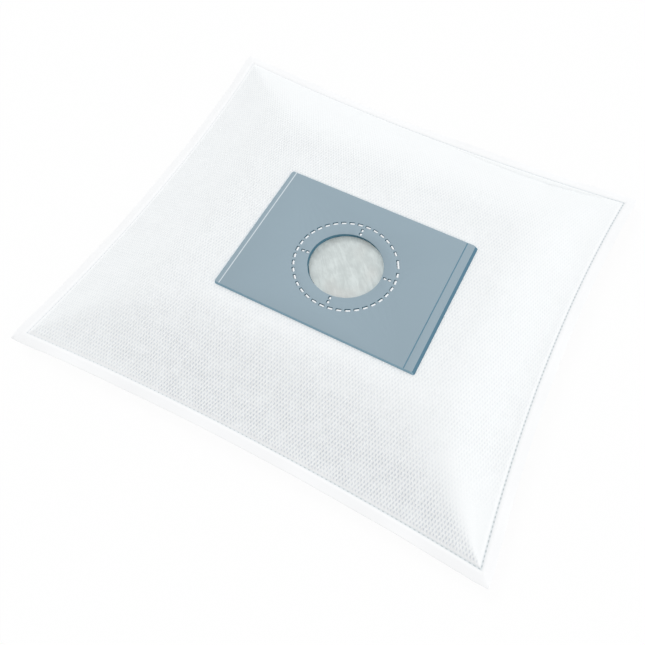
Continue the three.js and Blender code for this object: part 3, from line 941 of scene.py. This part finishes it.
def made_by_tree(name, source, tree, sizes):
    """Runs a tree on a source object and keeps the result as a plain mesh."""
    modifier = source.modifiers.new("tree", "NODES")
    modifier.node_group = tree
    for item in tree.interface.items_tree:
        if item.in_out == "INPUT" and item.name in sizes:
            modifier[item.identifier] = float(sizes[item.name])
    graph = bpy.context.evaluated_depsgraph_get()
    mesh = bpy.data.meshes.new_from_object(source.evaluated_get(graph), depsgraph=graph)
    source.modifiers.remove(modifier)
    old = source.data
    bpy.data.objects.remove(source)
    bpy.data.meshes.remove(old)
    return object_from(name, mesh)


def line_object(name, points, edges):
    mesh = bpy.data.meshes.new(name)
    mesh.from_pydata([tuple(p) for p in points], edges, [])
    return object_from(name, mesh)


def weld_path():
    """Points round the weld, on the floor of its groove, and how strongly the weld shows at each of them,
    which is partly painted shade.
    """
    corners = np.array([(-1, -1), (1, -1), (1, 1), (-1, 1), (-1, -1)]) * (WELD_HALF_X, WELD_HALF_Y)
    sides = [np.linspace(start, end, WELD_PATH_STEPS)[:-1] for start, end in zip(corners, corners[1:])]
    x, y = np.concatenate(sides).T
    return np.column_stack([*drawn_in(x, y), front_panel_heights(x, y)[0]]), weld_press_and_shade(x, y)


def weld_points(material):
    """Flat ovals of fused film along the weld, their grey partly painted shade of its pressed pits. They are
    smaller on the sides that are pressed less and painted fainter.
    """
    tree, sizes = node_tree("points_along_weld", ("Pitch", "Length", "Width", "Height", "Lift"))
    path = add_node(tree, "GeometryNodeMeshToCurve", inputs={"Mesh": sizes.outputs["Geometry"]})
    even = add_node(tree, "GeometryNodeResampleCurve", {"mode": "LENGTH"}, {
        "Curve": path, "Length": sizes.outputs["Pitch"],
    })
    raised = add_node(tree, "ShaderNodeCombineXYZ", inputs={"Z": sizes.outputs["Lift"]})
    placed = add_node(tree, "GeometryNodeSetPosition", inputs={"Geometry": even, "Offset": raised})
    tangent = add_node(tree, "GeometryNodeInputTangent")
    turned = add_node(tree, "FunctionNodeAlignRotationToVector", {"axis": "X"}, {"Vector": tangent})
    oval = add_node(tree, "GeometryNodeMeshUVSphere", inputs={"Segments": 12, "Rings": 6, "Radius": 0.5})
    smooth = add_node(tree, "GeometryNodeSetShadeSmooth", inputs={"Geometry": oval})
    size = add_node(tree, "ShaderNodeCombineXYZ", inputs={
        "X": sizes.outputs["Length"], "Y": sizes.outputs["Width"], "Z": sizes.outputs["Height"],
    })
    press_and_shade = add_node(tree, "GeometryNodeInputNamedAttribute", {"data_type": "FLOAT"}, {"Name": "press_and_shade"})
    vary = add_node(tree, "FunctionNodeRandomValue", {"data_type": "FLOAT"}, {2: 0.85, 3: 1.1, "Seed": 4})
    share = add_node(tree, "ShaderNodeMath", {"operation": "MULTIPLY"}, {
        0: press_and_shade.outputs["Attribute"], 1: vary.outputs[1],
    })
    scaled = add_node(tree, "ShaderNodeVectorMath", {"operation": "SCALE"}, {0: size, "Scale": share})
    points = add_node(tree, "GeometryNodeInstanceOnPoints", inputs={
        "Points": placed, "Instance": smooth,
        "Rotation": turned, "Scale": scaled,
    })
    end_tree(tree, points, material)
    places, press_and_shade_at = weld_path()
    closed = [(k, (k + 1) % len(places)) for k in range(len(places))]
    source = line_object("weld_path", places, closed)
    marks = source.data.attributes.new("press_and_shade", "FLOAT", "POINT")
    marks.data.foreach_set("value", press_and_shade_at.astype(np.float32))
    length, width, height = WELD_POINT_SIZE
    return made_by_tree("weld_points", source, tree, {
        "Pitch": WELD_POINT_PITCH, "Lift": WELD_POINT_LIFT,
        "Length": length, "Width": width, "Height": height,
    })


def slot_fleece(material):
    """Nonwoven that swells up into the perforations of the board."""
    tree, sizes = node_tree("fleece_in_slots", ("Width", "Height"))
    path = add_node(tree, "GeometryNodeMeshToCurve", inputs={"Mesh": sizes.outputs["Geometry"]})
    even = add_node(tree, "GeometryNodeResampleCurve", {"mode": "COUNT"}, {"Curve": path, "Count": 7})
    circle = add_node(tree, "GeometryNodeCurvePrimitiveCircle", inputs={"Resolution": 10, "Radius": 0.5})
    shape = add_node(tree, "ShaderNodeCombineXYZ", inputs={
        "X": sizes.outputs["Width"], "Y": sizes.outputs["Height"], "Z": 1.0,
    })
    profile = add_node(tree, "GeometryNodeTransform", inputs={"Geometry": circle, "Scale": shape})
    rod = add_node(tree, "GeometryNodeCurveToMesh", inputs={
        "Curve": even, "Profile Curve": profile, "Fill Caps": True,
    })
    smooth = add_node(tree, "GeometryNodeSetShadeSmooth", inputs={"Geometry": rod})
    end_tree(tree, smooth, material)
    points, edges = [], []
    height = COLLAR_HIGH.z - SLOT_FLEECE_DEPTH - SLOT_FLEECE_HEIGHT / 2
    for x, y, direction, length in slots():
        reach = length / 2 - SLOT_FLEECE_SHIFT.length
        step = Vector((math.cos(direction), math.sin(direction), 0)) * reach
        middle = Vector((x, y, height)) + SLOT_FLEECE_SHIFT
        points += [middle - step, middle + step]
        edges.append((len(points) - 2, len(points) - 1))
    return made_by_tree("slot_fleece", line_object("slot_lines", points, edges), tree, {
        "Width": SLOT_FLEECE_WIDTH, "Height": SLOT_FLEECE_HEIGHT,
    })


# Materials


def slanted(tree, place, *directions):
    """A place measured along each of two slanted directions."""
    measures = [
        add_node(tree, "ShaderNodeVectorMath", {"operation": "DOT_PRODUCT"}, {0: place, 1: direction})
        for direction in directions
    ]
    return add_node(tree, "ShaderNodeCombineXYZ", inputs={
        number: measure.outputs["Value"] for number, measure in enumerate(measures)
    })


def bond_lattice(tree, place):
    """Distance from the nearest bond point, 1 at its rim: ovals in a lattice with slightly shifted rows."""
    along_row = (1 / BOND_PITCH, -BOND_SLANT / (BOND_PITCH * BOND_ROW), 0)
    cell = slanted(tree, place, along_row, (0, 1 / BOND_ROW, 0))
    share = add_node(tree, "ShaderNodeVectorMath", {"operation": "FRACTION"}, {0: cell})
    centred = add_node(tree, "ShaderNodeVectorMath", {"operation": "SUBTRACT"}, {
        0: share, 1: (0.5, 0.5, 0),
    })
    across = (BOND_PITCH / BOND_HALF_WIDTH, BOND_SLANT / BOND_HALF_WIDTH, 0)
    oval = slanted(tree, centred, across, (0, BOND_ROW / BOND_HALF_LENGTH, 0))
    return add_node(tree, "ShaderNodeVectorMath", {"operation": "LENGTH"}, {0: oval}).outputs["Value"]


def laid_fibres(tree, place):
    """Fibres some 4 mm long, laid in three directions and drawn 0.35 mm wide so that they show."""
    laid = None
    for turn in (35, -28, 80):
        combed = add_node(tree, "ShaderNodeMapping", {"vector_type": "TEXTURE"}, {
            "Vector": place, "Rotation": (0, 0, math.radians(turn)), "Scale": (4 * MM, 0.35 * MM, 1),
        })
        layer = add_node(tree, "ShaderNodeTexNoise", inputs={"Vector": combed, "Scale": 1.0, "Detail": 1.0})
        if laid is not None:
            layer = add_node(tree, "ShaderNodeMath", {"operation": "MAXIMUM"}, {0: laid, 1: layer})
        laid = layer
    return laid


def nonwoven_material():
    """Spunbond polypropylene: laid fibres, matt and white, fused to a smoother film in the bond points. The
    grey of that film and of the weld is partly painted shade.
    """
    material, tree = new_material("spunbond_polypropylene")
    place = add_node(tree, "ShaderNodeAttribute", {"attribute_name": "cut_place"}).outputs["Vector"]
    emboss_and_shade_here, weld, doubled = (
        add_node(tree, "ShaderNodeAttribute", {"attribute_name": name}).outputs["Fac"]
        for name in ("emboss_and_shade", "weld_mark", "pressed")
    )
    distance = bond_lattice(tree, place)
    clouds = add_node(tree, "ShaderNodeTexNoise", inputs={
        "Vector": place, "Scale": 1 / (9 * MM), "Detail": 2.0, "Roughness": 0.6,
    })
    evenness = add_node(tree, "ShaderNodeMapRange", inputs={
        "Value": clouds, "From Min": 0.3, "From Max": 0.6, "To Min": 0.6,
    })
    amount = add_node(tree, "ShaderNodeMath", {"operation": "MULTIPLY"}, {0: evenness, 1: emboss_and_shade_here})
    film_and_shade = add_node(tree, "ShaderNodeMapRange", {"interpolation_type": "SMOOTHSTEP"}, {
        "Value": distance, "From Min": 1.25, "From Max": 0.75,
    })
    film_and_shade_here = add_node(tree, "ShaderNodeMath", {"operation": "MULTIPLY"}, {0: film_and_shade, 1: amount})
    laid = laid_fibres(tree, place)
    fibre_tone = add_node(tree, "ShaderNodeMapRange", inputs={
        "Value": laid, "From Min": 0.45, "From Max": 0.75,
    })
    tone = linear("#F7FAFB")
    for share, colour in (
        (fibre_tone, "#FCFEFF"),  # fibres on top
        (film_and_shade_here, "#D8DDE3"),  # film in the bond points, its grey partly painted shade
        (doubled, "#FDFEFF"),  # two panels pressed on each other
        (weld, "#DFE5E8"),  # floor of the weld, its grey partly painted shade
    ):
        tone = add_node(tree, "ShaderNodeMix", {"data_type": "RGBA"}, {
            0: share, 6: tone, 7: linear(colour),
        }).outputs[2]
    pillow = add_node(tree, "ShaderNodeMapRange", {"interpolation_type": "SMOOTHSTEP"}, {
        "Value": distance, "From Min": 0.5, "From Max": 2.1, "To Max": BOND_DEPTH_MM,
    })
    quilted = add_node(tree, "ShaderNodeMath", {"operation": "MULTIPLY"}, {0: pillow, 1: amount})
    height = add_node(tree, "ShaderNodeMath", {"operation": "MULTIPLY_ADD"}, {0: laid, 1: 0.02, 2: quilted})
    rough = add_node(tree, "ShaderNodeMapRange", inputs={
        "Value": film_and_shade_here, "To Min": 0.92, "To Max": 0.55,
    })
    return surfaced(material, tone, (height, 1.0, MM), rough, 1.49, 0.3)


def polypropylene_material(name, dark, light, cloud_size, strength, depth, roughness, specular):
    """Polypropylene melted or loose: small clouds in its tone, which are also its slight relief."""
    material, tree = new_material(name)
    place = add_node(tree, "ShaderNodeTexCoord").outputs["Object"]
    cloud = add_node(tree, "ShaderNodeTexNoise", inputs={
        "Vector": place, "Scale": 1 / cloud_size, "Detail": 2.0,
    })
    colour = add_node(tree, "ShaderNodeMix", {"data_type": "RGBA"}, {
        0: cloud, 6: linear(dark), 7: linear(light),
    })
    return surfaced(material, colour.outputs[2], (cloud, strength, depth), roughness, 1.49, specular)


def lining_material():
    """Carded fleece: long soft fibres combed one way, pale grey-green. The grey is partly painted shade, as
    if the fleece lay deep under the inlet.
    """
    material, tree = new_material("carded_fleece_painted_shade")
    place = add_node(tree, "ShaderNodeTexCoord").outputs["Object"]
    combed = add_node(tree, "ShaderNodeMapping", {"vector_type": "TEXTURE"}, {
        "Vector": place, "Rotation": (0, 0, STREAK_TURN), "Scale": (15 * MM, 2.6 * MM, 1),
    })
    streaks = add_node(tree, "ShaderNodeTexNoise", inputs={
        "Vector": combed, "Scale": 1.0, "Detail": 4.0, "Roughness": 0.62, "Distortion": 1.1,
    })
    lumps = add_node(tree, "ShaderNodeTexNoise", inputs={
        "Vector": place, "Scale": 1 / (5 * MM), "Detail": 3.0,
    })
    loose = add_node(tree, "ShaderNodeMix", {"data_type": "FLOAT"}, {0: 0.45, 2: streaks, 3: lumps})
    tone = add_node(tree, "ShaderNodeMapRange", {"interpolation_type": "SMOOTHSTEP"}, {
        "Value": loose, "From Min": 0.36, "From Max": 0.66,
    })
    # Grey-green tones, darker than the white panels partly as painted shade of the inlet's depth
    colour = add_node(tree, "ShaderNodeMix", {"data_type": "RGBA"}, {
        0: tone, 6: linear("#CBD3D2"), 7: linear("#DDE5E4"),
    })
    patches = add_node(tree, "ShaderNodeTexNoise", inputs={
        "Vector": place, "Scale": 1 / (26 * MM), "Detail": 1.0,
    })
    warm = add_node(tree, "ShaderNodeMapRange", {"interpolation_type": "SMOOTHSTEP"}, {
        "Value": patches, "From Min": 0.5, "From Max": 0.75, "To Max": 0.35,
    })
    tinted = add_node(tree, "ShaderNodeMix", {"data_type": "RGBA"}, {
        0: warm, 6: colour.outputs[2], 7: linear("#D9D3CE"),
    })
    return surfaced(material, tinted.outputs[2], (loose, 0.5, 0.4 * MM), 0.95, 1.5, 0.25)


def board_material(name, dark, light, roughness):
    """Pressed solid board: a fine felted grain under a thin, even coat."""
    material, tree = new_material(name)
    place = add_node(tree, "ShaderNodeTexCoord").outputs["Object"]
    grain = add_node(tree, "ShaderNodeTexNoise", inputs={
        "Vector": place, "Scale": 1 / (0.7 * MM), "Detail": 3.0, "Roughness": 0.6,
    })
    mottle = add_node(tree, "ShaderNodeTexNoise", inputs={
        "Vector": place, "Scale": 1 / (14 * MM), "Detail": 2.0,
    })
    both = add_node(tree, "ShaderNodeMix", {"data_type": "FLOAT"}, {0: 0.6, 2: grain, 3: mottle})
    colour = add_node(tree, "ShaderNodeMix", {"data_type": "RGBA"}, {
        0: both, 6: linear(dark), 7: linear(light),
    })
    return surfaced(material, colour.outputs[2], (grain, 0.5, 0.02 * MM), roughness, 1.5, 0.12)


# The bag


def dress_bag():
    nonwoven = nonwoven_material()
    # Melted through in the weld points: a smooth grey film with the glint of plastic. Its grey is partly
    # painted shade of the pressed pits.
    film_and_shade = polypropylene_material(
        "fused_film_painted_shade", "#BBC5C8", "#D2D9DB", 2.5 * MM, 0.4, 0.05 * MM, 0.5, 0.4)
    # The nonwoven where it isn't bonded: loose fibre, matt and white
    fibre = polypropylene_material(
        "loose_polypropylene_fibre", "#F3F9FE", "#FBFEFF", 0.8 * MM, 0.6, 0.1 * MM, 0.95, 0.3)

    hole = INLET_RADIUS + INLET_PANEL_CLEARANCE
    front = object_from("front_panel_cloth", panel_mesh(front_panel_heights, hole), [nonwoven])
    back = object_from("back_panel_cloth", panel_mesh(back_panel_heights), [nonwoven])
    lining = object_from("lining", lining_mesh(), [lining_material()])
    collar = object_from("collar_board", collar_mesh(), [
        board_material("coated_board_face", "#9AADB8", "#9CAFBA", 0.85),
        # Cut edges in painted tones: painted shade at the ends, painted light along the long edges, darkest
        # painted shade inside the holes
        board_material("board_end_edge_painted_shade", "#54788B", "#62869A", 0.85),
        # The left score painted pale as a highlight, the right score painted dark as shade
        board_material("left_score_painted_highlight", "#D3DDE3", "#DEE7EC", 0.9),
        board_material("right_score_painted_shade", "#6B8FA1", "#7799AA", 0.8),
        board_material("board_long_edge_painted_light", "#80A0B0", "#8AA9B9", 0.85),
        board_material("board_hole_wall_painted_shade", "#44697A", "#507585", 0.9),
    ])
    points = weld_points(film_and_shade)
    swelling = slot_fleece(fibre)

    for piece, node, slot in (
        (front, "front_panel", "nonwoven"),
        (back, "back_panel", "nonwoven"),
        (lining, "inner_fleece", "lining"),
        (collar, "collar_plate", "board"),
        (points, None, "nonwoven"),
        (swelling, None, "nonwoven"),
    ):
        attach(piece, "root")
        if node:
            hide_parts(node)


make_camera()
make_lamps()
make_world()
make_floor()
bpy.context.scene.view_settings.view_transform = "Standard"
dress_bag()
